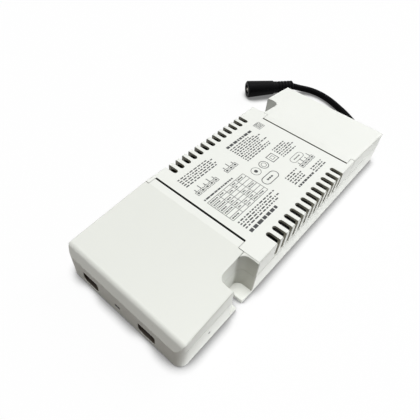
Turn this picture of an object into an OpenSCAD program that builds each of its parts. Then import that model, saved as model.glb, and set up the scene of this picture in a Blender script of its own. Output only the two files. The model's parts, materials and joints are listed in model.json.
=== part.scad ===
// Led driver: a flat white case with vented housing, two clip-on terminal covers,
// two open screw pockets and a short output lead that ends in a round socket.
// The input end faces -X, the output end +X, and the case stands on z = 0.

/* [Case] */
// Length of the vented housing between the two covers
housing_length = 85; // [80:1:110]
// Length of the input cover, from its crease to the end of the case
input_cover_length = 46.4; // [44:0.2:56]
// Length of the output cover, from its crease to the end of the case
output_cover_length = 39.6; // [38:0.2:50]
// Width of the tray
tray_width = 67; // [65:0.5:80]
// Height over the housing's roof
case_height = 24; // [23.5:0.5:32]
// Height of the seam between the tray and the pieces that sit on it
seam_height = 13.2; // [12.4:0.2:15]
// How far the tray stands proud of the pieces on it, along the long sides
seam_ledge = 0.15; // [0.1:0.05:0.5]
// Radius of the case's upright corners at the input end
corner_radius = 4; // [3:0.5:7]
// Radius of the case's upright corners at the output end
output_corner_radius = 1; // [1:0.1:4]
// Thickness of the upright walls
wall = 1.8; // [1.4:0.1:2.2]
// Thickness of the tray's floor
floor_thickness = 2; // [1.6:0.1:2.6]
// Thickness of the housing's roof
roof_thickness = 2; // [1.6:0.1:2.4]
// Radius of the long top edges
edge_radius = 0.8; // [0.4:0.1:1.2]
// Gap left between pieces that clip together
play = 0.15; // [0.1:0.05:0.25]

/* [Covers] */
// Height of the input cover at the end of the case
input_end_height = 19; // [18:0.1:21]
// Height of the output cover at the end of the case
output_end_height = 20.1; // [18:0.1:21]
// Radius of the input cover's top edge at the end of the case
input_end_radius = 2.3; // [1:0.1:4.5]
// Radius of the output cover's top edge at the end of the case
output_end_radius = 0.8; // [0.8:0.1:3]
// How far the input cover's end leans in, in degrees
input_end_lean = 22; // [0:1:22]
// Height of the upright strip at the foot of a cover's end
end_land = 0.7; // [0:0.1:1.5]
// Open joint between a cover's edge and the housing
cover_gap = 0.3; // [0.15:0.05:0.4]
// Thickness of a cover's roof and of the tongue that laps the housing
tongue_thickness = 1.8; // [1.4:0.1:2.2]
// How far a tongue reaches past the crease on to the housing
tongue_length = 5; // [4:0.5:7]
// Open groove in front of the input cover's tongue
input_groove = 1; // [0.4:0.1:1.4]
// Open groove in front of the output cover's tongue
output_groove = 0.65; // [0.2:0.05:1]
// Shoulder of the housing beside a tongue, on the side with no screw pocket
plain_shoulder = 2.3; // [2:0.1:4]
// Shoulder of the housing beside a tongue, on the side with the screw pocket
pocket_shoulder = 10.9; // [9:0.1:14]
// Width of the hook that holds a cover to the end of the tray
latch_width = 3; // [2:0.5:6]
// Height of the window that the hook's nose fits
latch_height = 1.6; // [1.2:0.1:2.4]

/* [Vents] */
// Vent slots along each side
vent_count = 13; // [5:1:15]
// Distance from one slot to the next
vent_pitch = 4.7; // [4:0.1:5.2]
// Width of a slot
vent_width = 2.6; // [1.4:0.1:3]
// How far a slot's round end lies from the side of the housing
vent_reach = 5.6; // [4:0.1:8]
// Band of wall left between a slot's foot and the seam
vent_foot = 1.2; // [0.8:0.1:3]

/* [Screw pockets] */
// Distance from a cover's crease to the pocket's wall
pocket_gap = 0.7; // [0.6:0.1:1.2]
// Length of a pocket along the case
pocket_length = 15.6; // [14:0.2:18]
// Depth of a pocket from the side of the tray
pocket_depth = 8.2; // [7.8:0.1:9]
// Radius of a pocket's inner corners
pocket_radius = 3.5; // [2.5:0.5:4.5]
// Thickness of the lug at the foot of a pocket
lug_thickness = 2; // [1.6:0.1:3]
// Width of the open screw slot in the lug
slot_width = 4.3; // [3.6:0.1:4.6]
// Distance from the crease to the middle of the slot
slot_offset = 9.5; // [8:0.1:10.5]
// Distance from the side of the tray to the centre of the slot's round end
slot_depth = 5.2; // [3:0.1:5.4]

/* [Cable entries] */
// Width of an entry
entry_width = 9.6; // [8:0.1:11]
// Height of an entry
entry_height = 7; // [6:0.1:8]
// Height of an entry's sill over the floor
entry_sill = 0.2; // [0.1:0.1:0.6]
// Radius of an entry's lower corners
entry_radius = 2.5; // [1.5:0.1:3]
// Distance from the +Y side of the tray to the middle of the entry near it
entry_high_edge = 14.5; // [13:0.5:16]
// Distance from the -Y side of the tray to the middle of the entry near it
entry_low_edge = 18.5; // [16.5:0.5:20]
// Diameter of the small blind hole in the tray's side, below the input cover
pip_diameter = 0.9; // [0.6:0.1:1.4]
// Distance of that hole from the end of the case
pip_inset = 16.4; // [14:0.2:20]

/* [Cable clamps] */
// Distance from the end of the case to the middle of a clamp
clamp_inset = 11; // [10:0.5:13]
// Width of a clamp bar along the cable
clamp_width = 7; // [6:0.5:8]
// Thickness of a clamp bar over its seat
clamp_thickness = 3; // [2.5:0.1:3.5]
// Diameter of the posts that a clamp is screwed to
clamp_post = 5.6; // [5:0.1:6]
// Diameter of a clamp screw's shank
screw_diameter = 2.9; // [2.5:0.1:3.5]
// Diameter of a clamp screw's head
screw_head = 5.2; // [4.6:0.1:5.6]

/* [Board] */
// Height of the posts under the circuit board
board_lift = 2.5; // [2:0.1:3]
// Thickness of the circuit board
board_thickness = 1.6; // [1:0.1:2]
// Gap between the board's edge and the tray's wall
board_margin = 0.8; // [0.5:0.1:1.5]
// How far the board runs on under each cover
board_overhang = 17; // [15.5:0.5:19]
// Thickness of the insulating sheet on the floor
sheet_thickness = 0.4; // [0.2:0.1:0.8]

/* [Terminals] */
// Depth of a terminal block along the wire
terminal_depth = 12; // [10:0.5:13]
// Height of a terminal block over the board
terminal_height = 10.5; // [9:0.5:12]
// Distance between the poles of the mains terminal block
mains_pitch = 5; // [4.4:0.1:5.2]
// Distance between the poles of the control terminal block
control_pitch = 4; // [3.4:0.1:4.2]
// Distance between the poles of the two output terminal blocks
output_pitch = 2.5; // [2.5:0.1:3]

/* [Wound parts] */
// Outside diameter of the common mode choke
choke_diameter = 14; // [12:0.5:15]
// Height of the common mode choke
choke_height = 9; // [7:0.5:11]
// Length of the inductor's core along the case
inductor_length = 14; // [12:0.5:15]
// Width of the inductor's core, as a share of the board's width
inductor_share = 0.24; // [0.2:0.01:0.25]
// Length of the transformer's core along the case
transformer_length = 20; // [18:0.5:22]
// Width of the transformer's core, as a share of the board's width
transformer_share = 0.34; // [0.3:0.01:0.35]
// Height of the inductor and of the transformer over the board
wound_height = 13.5; // [12:0.5:14.5]
// Diameter of the output choke
output_choke_diameter = 12; // [10:0.5:13]

/* [Board parts] */
// Diameter of the two bulk capacitors, which lie along the case, as a share of the board's width
bulk_share = 0.2; // [0.16:0.01:0.21]
// Length of a bulk capacitor
bulk_length = 20; // [16:0.5:24]
// Diameter of the two output capacitors, which stand
output_cap_diameter = 10; // [8:0.5:11]
// Height of an output capacitor
output_cap_height = 12.5; // [10:0.5:13]
// Length of the mains filter capacitor across the case
filter_cap_length = 17.5; // [15:0.5:18]
// Thickness of the mains filter capacitor along the case
filter_cap_thickness = 7.5; // [6:0.5:8.5]
// Height of the mains filter capacitor
filter_cap_height = 12.5; // [10:0.5:13.5]
// Diameter of the fuse
fuse_diameter = 8.4; // [7:0.2:9]
// Diameter of the varistor's disc
varistor_diameter = 9.5; // [8:0.5:10.5]
// Length of the aluminium plate that the transistors are fixed to
spreader_length = 40; // [36:1:44]
// Thickness of that plate
spreader_thickness = 1.5; // [1:0.1:2]
// Height of that plate over the board
spreader_height = 13.5; // [12:0.5:14.5]

/* [Output lead] */
// Diameter of the lead
lead_diameter = 4.2; // [3.6:0.1:4.2]
// Diameter of the socket's moulded body at its open end
socket_diameter = 11.2; // [10:0.1:11.2]
// Diameter of the body at its other end
socket_waist = 9.2; // [8.8:0.1:10]
// Length of the socket's moulded body, without its strain relief
socket_length = 19.5; // [18:0.5:26]
// Length of the ribbed strain relief behind the body
relief_length = 14; // [11:0.5:18]
// Diameter of the strain relief next to the body
relief_diameter = 8; // [7:0.1:8.6]
// Diameter of the strain relief's blunt end, where the lead comes out
relief_end_diameter = 7.4; // [6:0.1:7.6]
// Diameter of the hole in the socket's face
socket_bore = 6.2; // [5.8:0.1:6.6]
// Depth of that hole
socket_depth = 10; // [9:0.5:12]
// Diameter of the socket's centre pin
pin_diameter = 2.1; // [1.9:0.1:2.5]

/* [Hidden] */
$fn = 48;
// Overlap between shapes that are joined, and overshoot of cuts
lap = 1;

case_length = input_cover_length + housing_length + output_cover_length;
end_x = -case_length / 2;
input_crease = end_x + input_cover_length;
output_crease = -end_x - output_cover_length;
housing_mid = (input_crease + output_crease) / 2;
tray_half = tray_width / 2;
top_half = tray_half - seam_ledge;
inner_radius = 0.4;
roof_underside = case_height - roof_thickness;

// Tongues, and the shelf of the housing under them
tongue_low_y = -top_half + pocket_shoulder;
tongue_high_y = top_half - plain_shoulder;
shelf_z = case_height - tongue_thickness - play;

// Corner of the housing at the back of a screw pocket
corner_reach = pocket_gap + pocket_radius;
corner_depth = pocket_depth + seam_ledge;
rim_drop = 0.4;
corner_rim = case_height - rim_drop;

// Cable entries, seen from the input end; the output end is the same end turned round
entry_bottom = floor_thickness + entry_sill;
entry_top = entry_bottom + entry_height;
entry_mid_z = (entry_bottom + entry_top) / 2;
entry_high_y = tray_half - entry_high_edge;
entry_low_y = -tray_half + entry_low_edge;
latch_y = (entry_high_y + entry_low_y) / 2;
entry_top_radius = 0.8;
latch_rise = 0.5;
latch_z = entry_mid_z + latch_rise;
latch_hook = 1.4;
latch_nose = 1.2;
lip_height = 2.4;
lip_thickness = 1.2;
lip_end_gap = 6;

// Circuit board
board_z = floor_thickness + board_lift;
board_top = board_z + board_thickness;
board_near_x = input_crease - board_overhang;
board_far_x = output_crease + board_overhang;
board_half = tray_half - wall - board_margin;
board_width = 2 * board_half;
board_post = 5;
board_post_inset = 4;
pocket_wall_y = tray_half - pocket_depth - wall - board_margin;
sheet_border = 1;

// Zone of the board under the housing, between its two end walls
zone_margin = 1;
zone_near_x = input_crease + wall + zone_margin;
zone_far_x = output_crease - wall - zone_margin;
part_gap = 2;

// Clamps: the bar's seat is a little over the middle of the cable
clamp_seat = entry_mid_z + 1;
clamp_groove = 3;
clamp_clearance = 1.2;
clamp_length = 2 * (entry_high_edge - wall - clamp_clearance);
screw_head_height = 1.8;
screw_length = 4;
screw_play = 0.2;
clamp_pitch = clamp_length - clamp_post - 2 * screw_play;
clamp_x = end_x + clamp_inset;

// Terminal blocks
terminal_gap = 0.6;
port_depth = 7;
port_height = 3;
port_share = 0.7;
mains_poles = 5;
control_poles = 4;
output_poles = 2;
setting_poles = 3;
port_step = 0.35;
test_slot = [2, 3];
mains_block_y = entry_high_y - mains_pitch / 2;
control_block_y = entry_low_y + control_pitch / 2;

// Wound parts and the row of parts along the -Y side
wound_gap = 3;
winding_depth = 1.5;
inductor_width = inductor_share * board_width;
transformer_width = transformer_share * board_width;
bobbin_foot = 2;
core_share = 0.2;
choke_mid_x = zone_near_x + zone_margin + choke_diameter / 2;
inductor_x = choke_mid_x + choke_diameter / 2 + wound_gap;
transformer_x = inductor_x + inductor_length + wound_gap;
spreader_y = -board_half + 1.2;
package_depth = 4.5;
package_width = 10;
package_height = 12;
package_face_y = spreader_y + spreader_thickness + package_depth;
package_gap = 0.6;
row_y = package_face_y + package_gap;
choke_edge = 4;
choke_bore = 3;
bridge_length = 8.5;
bridge_width = 6.5;
bridge_height = 3;
choke_mid_y = -board_half + choke_edge + choke_diameter / 2;

// Row of parts along the +Y side
fuse_height = 8;
varistor_thickness = 4.4;
filter_cap_x = zone_near_x + max(fuse_diameter, varistor_diameter) + part_gap;
high_row_y = board_half - zone_margin;
bulk_x = filter_cap_x + filter_cap_thickness + part_gap;
bulk_gap = 1;
bulk_diameter = bulk_share * board_width;
bulk_low_y = high_row_y - bulk_diameter * 1.5 - bulk_gap;

// Parts on the secondary side, placed from the output end
output_cap_x = zone_far_x - output_cap_diameter / 2;
disc_diameter = 8;
disc_thickness = 4;
disc_x = zone_far_x - output_cap_diameter - part_gap - disc_diameter / 2;
coupler_length = 6.5;
coupler_width = 4.6;
coupler_height = 3.5;
coupler_y = 8;
chip_length = 10;
chip_width = 4;
chip_height = 1.6;
output_choke_height = 10;

// Lead: it leaves through the high entry of the output end
lead_radius = lead_diameter / 2;
lead_y = -entry_high_y;
lead_z = entry_mid_z;
bore_play = 0.05;
grommet_flange = 1.5;
grommet_lip = 1;
tail_gap = 5;
tail_end_x = board_far_x + tail_gap;
wire_radius = 0.6;
ferrule_radius = 0.8;
ferrule_length = 4;
lead_start_x = -end_x + grommet_flange;
lead_rest = lead_radius + bore_play;
// Points along the lead from where it leaves the case, each with its height over the floor's contact
lead_shape = [
    [0, 0, lead_z - lead_rest], [4, 0.1, 3.5], [8.2, 1, 3.15], [12.5, 3, 2.45], [16.7, 6.1, 1.55], [20.7, 10, 0.75],
    [24.3, 14.6, 0.25], [27.6, 19.9, 0.05], [30.5, 26.1, 0], [33.1, 32.3, 0], [34.8, 38.2, 0], [35.5, 44, 0.05],
    [34.95, 49, 0.2], [33.05, 53.2, 0.7], [29.9, 56.3, 1.6], [26.5, 58.7, 2.9], [23.3, 61.2, 4.15]];
lead_route = [for (p = lead_shape) [lead_start_x, lead_y, lead_rest] + p];
lead_sides = 10;
// The way the socket's open end faces, and where its strain relief meets the lead
socket_turn = 142.2;
socket_tilt = 1.2;
socket_way = [cos(socket_tilt) * cos(socket_turn), cos(socket_tilt) * sin(socket_turn), -sin(socket_tilt)];
socket_root = lead_route[len(lead_route) - 1] + bore_play * socket_way;
socket_end = relief_length + socket_length;
relief_chamfer = 0.5;
mouth_chamfer = 0.7;
ribs = 5;
rib_margin = 1.2;
rib_depth = 0.45;

// Shared outlines

// Rectangle with round corners, near_r at its -X end and far_r at its +X end
module round_rect(low, high, near_r, far_r) {
    size = high - low;
    translate([low.x + near_r, low.y]) square([size.x - near_r - far_r, size.y]);
    translate([low.x, low.y + near_r]) square([2 * near_r, size.y - 2 * near_r]);
    translate([high.x - 2 * far_r, low.y + far_r]) square([2 * far_r, size.y - 2 * far_r]);
    for (side = [0, 1]) {
        translate([low.x + near_r, low.y + near_r + side * (size.y - 2 * near_r)]) circle(near_r);
        translate([high.x - far_r, low.y + far_r + side * (size.y - 2 * far_r)]) circle(far_r);
    }
}

// Outline of a screw pocket at the input end, grown by inset
module pocket_outline(crease, inset) {
    wall_x = crease - pocket_gap;
    r = pocket_radius + inset;
    round_rect([wall_x - pocket_length - inset, -tray_half - 4 * pocket_radius],
        [wall_x + inset, -tray_half + pocket_depth + inset], r, r);
}

// Plan of the whole case without the screw pockets, inset at its sides and at its ends
module full_plan(inset, end_inset, near_r, far_r) {
    round_rect([end_x + end_inset, -tray_half + inset], [-end_x - end_inset, tray_half - inset],
        max(near_r - inset, inner_radius), max(far_r - inset, inner_radius));
}

// Plan of the pieces over the seam at one end, flush with the end of the tray, with that end's pocket cut out
module end_plan(crease, corner_r, inset) {
    difference() {
        full_plan(inset, inset - seam_ledge, corner_r, corner_r);
        pocket_outline(crease, inset);
    }
}

// Plan of the case with both pockets cut out
module case_plan(inset) {
    difference() {
        full_plan(inset, inset, corner_radius, output_corner_radius);
        pocket_outline(input_crease, inset);
        rotate(180) pocket_outline(-output_crease, inset);
    }
}

// Upright window of a cable entry, drawn in Y and Z
module entry_outline(grow, drop) {
    low = [-entry_width / 2 - grow, entry_bottom - drop];
    high = [entry_width / 2 + grow, entry_top + grow];
    r = entry_radius + grow;
    translate([low.x + r, low.y]) square([high.x - low.x - 2 * r, r]);
    for (x = [low.x + r, high.x - r]) translate([x, low.y + r]) circle(r);
    translate([low.x, low.y + r]) square([high.x - low.x, high.y - low.y - r - entry_top_radius]);
    translate([low.x + entry_top_radius, high.y - 2 * entry_top_radius])
        square([high.x - low.x - 2 * entry_top_radius, 2 * entry_top_radius]);
    for (x = [low.x + entry_top_radius, high.x - entry_top_radius])
        translate([x, high.y - entry_top_radius]) circle(entry_top_radius);
}

// Extrudes an outline drawn in Y and Z along +X
module along_x(length) {
    rotate([90, 0, 90]) linear_extrude(length) children();
}

// Box between two corners
module block(low, high) {
    translate(low) cube(high - low);
}

// Cylinder along +X
module rod_x(r, length) {
    rotate([0, 90, 0]) cylinder(r = r, h = length);
}

// Tray

module screw_slot(crease) {
    x = crease - slot_offset;
    centre_y = -tray_half + slot_depth;
    translate([x, centre_y, -lap]) cylinder(d = slot_width, h = lug_thickness + 2 * lap);
    block([x - slot_width / 2, -tray_half - lap, -lap], [x + slot_width / 2, centre_y, lug_thickness + lap]);
}

module entry_cut(y) {
    translate([end_x - lap, y, 0]) along_x(wall + 2 * lap) entry_outline(0, 0);
}

module latch_window(y) {
    block([end_x - lap, y - latch_width / 2, latch_z - latch_height / 2],
        [end_x + wall + lap, y + latch_width / 2, latch_z + latch_height / 2]);
}

// Blind hole in the tray's long side, under the middle of the seam
module side_pip() {
    translate([end_x + pip_inset, -tray_half + wall / 2, latch_z + latch_height])
        rotate([90, 0, 0]) cylinder(d = pip_diameter, h = wall);
}

// Posts for one cable clamp, with pilot holes for its screws
module clamp_posts(x, y) {
    for (side = [-1, 1]) translate([x, y + side * clamp_pitch / 2, floor_thickness - lap / 2])
        difference() {
            cylinder(d = clamp_post, h = clamp_seat - floor_thickness + lap / 2);
            translate([0, 0, clamp_seat - floor_thickness + lap / 2 - screw_length - screw_play])
                cylinder(d = screw_diameter + screw_play, h = screw_length + screw_play + lap);
        }
}

// Places of the posts under the board
function board_posts() = let (
    high_y = board_half - board_post_inset,
    pocket_y = pocket_wall_y - board_post_inset)
    [[board_near_x + board_post_inset, high_y], [board_near_x + board_post_inset, -pocket_y],
     [board_far_x - board_post_inset, pocket_y], [board_far_x - board_post_inset, -high_y],
     [housing_mid, high_y], [housing_mid, -high_y]];

module base_tray() {
    color("whitesmoke") {
        difference() {
            union() {
                linear_extrude(seam_height) case_plan(0);
                linear_extrude(lug_thickness) full_plan(0, 0, corner_radius, output_corner_radius);
            }
            translate([0, 0, floor_thickness]) linear_extrude(seam_height) case_plan(wall);
            screw_slot(input_crease);
            rotate(180) screw_slot(-output_crease);
            entry_cut(entry_high_y);
            entry_cut(entry_low_y);
            latch_window(latch_y);
            side_pip();
            rotate(180) {
                entry_cut(entry_high_y);
                latch_window(latch_y);
                side_pip();
            }
        }
        for (p = board_posts()) translate([p.x, p.y, floor_thickness - lap / 2])
            cylinder(d = board_post, h = board_lift + lap / 2);
        clamp_posts(clamp_x, entry_high_y);
        clamp_posts(clamp_x, entry_low_y);
        rotate(180) clamp_posts(clamp_x, entry_high_y);
    }
}

// Housing

// Cross-section over the seam with rounded long edges, its top at z = 0
module top_section(half, depth) {
    square_top = -edge_radius;
    translate([-half, -depth]) square([2 * half, depth + square_top]);
    translate([-half + edge_radius, -depth]) square([2 * (half - edge_radius), depth]);
    for (side = [-1, 1]) translate([side * (half - edge_radius), square_top]) circle(edge_radius);
}

// Recess for a cover's tongue, at the input end
module tongue_recess(crease) {
    block([crease - lap, tongue_low_y, shelf_z], [crease + tongue_length, tongue_high_y, case_height + lap]);
}

// Shelf under a tongue, the end wall below it and the foot that stands over the board
module end_wall(crease) {
    block([crease, tongue_low_y - wall, shelf_z - roof_thickness],
        [crease + tongue_length + wall, tongue_high_y + wall / 2, roof_underside + lap / 2]);
    block([crease, -pocket_wall_y, board_top + play],
        [crease + wall, board_half - lip_thickness, seam_height + lap]);
}

// Slope of a cover's roof, and the top of the housing's corner that stands under it
function cover_fall(crease, end_z) = atan((case_height - end_z) / (crease - end_x));
function corner_top(crease, end_z) = shelf_z - corner_reach * tan(cover_fall(crease, end_z));

// Round corner of the housing at the back of a screw pocket, cut off at a depth from the side
module corner_post(crease, depth, top_z) {
    translate([0, 0, seam_height]) linear_extrude(top_z - seam_height) intersection() {
        end_plan(crease, corner_radius, seam_ledge);
        translate([crease - corner_reach, -tray_half]) square([corner_reach + lap, depth]);
    }
}

// The corner stands under the cover's roof, and its bare rim fills the notch in that roof
module pocket_corner(crease, end_z) {
    corner_post(crease, corner_depth + wall, corner_top(crease, end_z));
    corner_post(crease, corner_depth - play, corner_rim);
}

module vent(x, side) {
    end_y = top_half - vent_reach;
    low_z = seam_height + vent_foot;
    translate([x, 0, 0]) mirror([0, side < 0 ? 1 : 0, 0]) {
        translate([0, end_y, roof_underside - lap]) cylinder(d = vent_width, h = roof_thickness + 2 * lap);
        block([-vent_width / 2, end_y, roof_underside - lap], [vent_width / 2, tray_half, case_height + lap]);
        block([-vent_width / 2, top_half - wall - lap, low_z], [vent_width / 2, tray_half, case_height]);
    }
}

// Lip that locates a piece inside the tray's long wall
module locating_lip(low_x, high_x, side) {
    outer = tray_half - wall - play;
    mirror([0, side < 0 ? 1 : 0, 0])
        block([low_x, outer - lip_thickness, seam_height - lip_height], [high_x, outer, seam_height + lap]);
}

module top_housing() {
    color("whitesmoke") difference() {
        union() {
            difference() {
                intersection() {
                    translate([0, 0, seam_height]) linear_extrude(case_height - seam_height) intersection() {
                        case_plan(seam_ledge);
                        translate([input_crease, -tray_half]) square([housing_length, tray_width]);
                    }
                    translate([end_x, 0, case_height]) along_x(case_length) top_section(top_half, case_height);
                }
                translate([0, 0, seam_height - lap]) linear_extrude(roof_underside - seam_height + lap)
                    intersection() {
                        case_plan(seam_ledge + wall);
                        translate([input_crease + wall, -tray_half])
                            square([housing_length - 2 * wall, tray_width]);
                    }
            }
            end_wall(input_crease);
            rotate(180) end_wall(-output_crease);
            pocket_corner(input_crease, input_end_height);
            rotate(180) pocket_corner(-output_crease, output_end_height);
            locating_lip(input_crease + wall + lip_end_gap, output_crease - lip_end_gap, 1);
            locating_lip(input_crease + lip_end_gap, output_crease - wall - lip_end_gap, -1);
        }
        tongue_recess(input_crease);
        rotate(180) tongue_recess(-output_crease);
        for (i = [0 : vent_count - 1], side = [-1, 1])
            vent(housing_mid + (i - (vent_count - 1) / 2) * vent_pitch, side);
    }
}

// Covers

// Side view of a cover, inset by inset: a roof that falls to an end that leans in, with a round edge between them
module cover_profile(crease, fall, end_r, lean, inset, foot_z) {
    r = max(end_r - inset, inner_radius);
    foot = [end_x + inset, seam_height + end_land];
    ridge = [crease, case_height - inset / cos(fall)];
    end_normal = [cos(lean), -sin(lean)];
    roof_normal = [sin(fall), -cos(fall)];
    end_reach = r + foot * end_normal;
    roof_reach = r + ridge * roof_normal;
    centre = [end_reach * cos(fall) - roof_reach * sin(lean), end_reach * sin(fall) - roof_reach * cos(lean)] / cos(lean + fall);
    polygon([[foot.x, foot_z], foot, centre - r * end_normal, centre - r * roof_normal, ridge, [crease, foot_z]]);
    translate(centre) circle(r);
}

// Extrudes an outline drawn in X and Z across the case
module across(half) {
    translate([0, half, 0]) rotate([90, 0, 0]) linear_extrude(2 * half) children();
}

// Body of a cover, solid, with its long edges rounded along the slope
module cover_block(crease, fall, end_r, lean, corner_r) {
    intersection() {
        translate([0, 0, seam_height]) linear_extrude(case_height - seam_height) intersection() {
            end_plan(crease, corner_r, seam_ledge);
            translate([end_x, -tray_half]) square([crease - cover_gap - end_x, tray_width]);
        }
        across(tray_half) cover_profile(crease, fall, end_r, lean, 0, seam_height - lap);
        translate([crease, 0, case_height]) rotate([0, -fall, 0]) translate([-case_length, 0, 0])
            along_x(case_length + lap) top_section(top_half, case_height);
    }
}

// Room inside a cover
module cover_cavity(crease, fall, end_r, lean, corner_r) {
    intersection() {
        translate([0, 0, seam_height - lap]) linear_extrude(case_height) intersection() {
            end_plan(crease, corner_r, seam_ledge + wall);
            translate([end_x, -tray_half]) square([crease + lap - end_x, tray_width]);
        }
        across(tray_half) cover_profile(crease, fall, end_r, lean, tongue_thickness, -lap);
    }
}

// What is cut off one top corner of the input cover, outside a ring with a round top edge
module corner_cut(side) {
    r = corner_radius - seam_ledge;
    middle = [end_x + r, -top_half + r];
    top_z = case_height - tan(cover_fall(input_crease, input_end_height)) * (input_crease - middle.x);
    mirror([0, side > 0 ? 1 : 0, 0]) difference() {
        block([end_x - lap, -top_half - lap, seam_height - lap], [middle.x, middle.y, case_height]);
        translate([middle.x, middle.y, 0]) rotate_extrude() {
            square([r - edge_radius, top_z]);
            square([r, top_z - edge_radius]);
            translate([r - edge_radius, top_z - edge_radius]) circle(edge_radius);
        }
    }
}

// Tongue of a cover: it carries the roof's slope on to the crease and laps the housing level from there
module tongue(crease, fall, groove) {
    front_x = crease + tongue_length - groove;
    low_z = case_height - tongue_thickness;
    translate([0, tongue_high_y - play, 0]) rotate([90, 0, 0])
        linear_extrude(tongue_high_y - tongue_low_y - 2 * play)
            polygon([[crease - lap, low_z], [front_x, low_z], [front_x, case_height], [crease, case_height],
                [crease - cover_gap, case_height - cover_gap * tan(fall)], [crease - lap, low_z + tongue_thickness / 2]]);
}

// Hook that reaches down inside the tray's end wall, with a nose in its window
module latch_hook(y) {
    inner_x = end_x + wall + play;
    low_z = latch_z - latch_height / 2 + play;
    high_z = latch_z + latch_height / 2 - play;
    half = latch_width / 2 - play;
    block([inner_x, y - half, low_z], [inner_x + latch_hook, y + half, seam_height]);
    block([end_x + wall - lap, y - half, seam_height],
        [inner_x + latch_hook, y + half, seam_height + lip_height]);
    block([inner_x - latch_nose, y - half, low_z], [inner_x + lap / 2, y + half, high_z]);
}

// One cover, drawn at the input end
module end_cover(crease, end_z, end_r, lean, corner_r, groove) {
    fall = cover_fall(crease, end_z);
    under_z = corner_top(crease, end_z) + play;
    difference() {
        cover_block(crease, fall, end_r, lean, corner_r);
        cover_cavity(crease, fall, end_r, lean, corner_r);
        block([crease - corner_reach - play, -tray_half, seam_height - lap],
            [crease + lap, -tray_half + corner_depth + wall + play, under_z]);
        block([crease - corner_reach - play, -tray_half, seam_height - lap],
            [crease + lap, -tray_half + corner_depth, case_height + lap]);
    }
    tongue(crease, fall, groove);
    latch_hook(latch_y);
    locating_lip(end_x + corner_radius + lip_end_gap, crease - lip_end_gap, 1);
    locating_lip(end_x + corner_radius + lip_end_gap, crease - pocket_gap - pocket_length - wall - lip_end_gap, -1);
}

module input_cover() {
    color("white") difference() {
        end_cover(input_crease, input_end_height, input_end_radius, input_end_lean, corner_radius, input_groove);
        for (side = [-1, 1]) corner_cut(side);
    }
}

module output_cover() {
    color("white") rotate(180)
        end_cover(-output_crease, output_end_height, output_end_radius, 0, output_corner_radius, output_groove);
}

// Board

module board_outline(inset) {
    intersection() {
        case_plan(wall + board_margin + inset);
        translate([board_near_x + inset, -tray_half])
            square([board_far_x - board_near_x - 2 * inset, tray_width]);
    }
}

module insulation_sheet() {
    color("gainsboro") translate([0, 0, floor_thickness]) linear_extrude(sheet_thickness) difference() {
        board_outline(sheet_border);
        for (p = board_posts()) translate(p) circle(d = board_post + board_margin);
    }
}

module circuit_board() {
    color("darkgreen") translate([0, 0, board_z]) linear_extrude(board_thickness) board_outline(0);
}

// Terminal blocks

// Push-in block with its ports on the -X face and a test slot over each port
module terminal_block(poles, pitch, back_x, y) {
    width = poles * pitch;
    port = pitch * port_share;
    step = terminal_height * port_step;
    front_x = back_x - terminal_depth;
    translate([0, y, board_top]) difference() {
        translate([0, width / 2, 0]) rotate([90, 0, 0]) linear_extrude(width)
            polygon([[front_x, 0], [back_x, 0], [back_x, terminal_height],
                [front_x + step, terminal_height], [front_x, terminal_height - step]]);
        for (i = [0 : poles - 1]) translate([front_x, (i - (poles - 1) / 2) * pitch, 0]) {
            translate([-lap, 0, port_height]) rod_x(port / 2, port_depth + lap);
            block([step + terminal_gap, -port / 4, terminal_height - test_slot.y],
                [step + terminal_gap + test_slot.x, port / 4, terminal_height + lap]);
        }
    }
}

module mains_terminal_block() {
    color("lightgray") terminal_block(mains_poles, mains_pitch, input_crease - terminal_gap, mains_block_y);
}

module control_terminal_block() {
    color("dimgray") terminal_block(control_poles, control_pitch, input_crease - terminal_gap, control_block_y);
}

module output_terminal_block() {
    color("lightgray") rotate(180)
        terminal_block(output_poles, output_pitch, -output_crease - terminal_gap, -lead_y);
}

module current_setting_terminal() {
    color("lightgray") rotate(180) terminal_block(setting_poles, output_pitch, -output_crease - terminal_gap, 0);
}

// Mains side

module fuse() {
    color("black") translate([zone_near_x + fuse_diameter / 2, high_row_y - fuse_diameter / 2, board_top])
        cylinder(d = fuse_diameter, h = fuse_height);
}

module varistor() {
    disc_y = high_row_y - fuse_diameter - part_gap;
    color("steelblue") translate([zone_near_x + varistor_diameter / 2, disc_y, board_top + varistor_diameter / 2])
        rotate([90, 0, 0]) cylinder(d = varistor_diameter, h = varistor_thickness);
}

module filter_capacitor() {
    color("gold") block([filter_cap_x, high_row_y - filter_cap_length, board_top],
        [filter_cap_x + filter_cap_thickness, high_row_y, board_top + filter_cap_height]);
}

// Ring lying on the board, with the bore through its middle
module choke_ring(outer, inner, low, high) {
    translate([choke_mid_x, choke_mid_y, board_top + low]) difference() {
        cylinder(d = outer, h = high - low);
        translate([0, 0, -lap]) cylinder(d = inner, h = high - low + 2 * lap);
    }
}

module common_mode_choke_core() {
    color("darkslategray")
        choke_ring(choke_diameter - 2 * winding_depth, choke_bore + 2 * winding_depth,
            winding_depth, choke_height - winding_depth);
}

// Two copper windings over opposite sides of the ring
module common_mode_choke_winding() {
    color("peru") difference() {
        choke_ring(choke_diameter, choke_bore, 0, choke_height);
        choke_ring(choke_diameter - 2 * winding_depth + play, choke_bore + 2 * winding_depth - play,
            winding_depth - play, choke_height - winding_depth + play);
        translate([choke_mid_x - choke_diameter, choke_mid_y - winding_depth, board_top - lap])
            cube([2 * choke_diameter, 2 * winding_depth, choke_height + 2 * lap]);
    }
}

module bridge_rectifier() {
    color("black") translate([choke_mid_x - bridge_length / 2, choke_mid_y + choke_diameter / 2 + part_gap, board_top])
        cube([bridge_length, bridge_width, bridge_height]);
}

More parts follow.
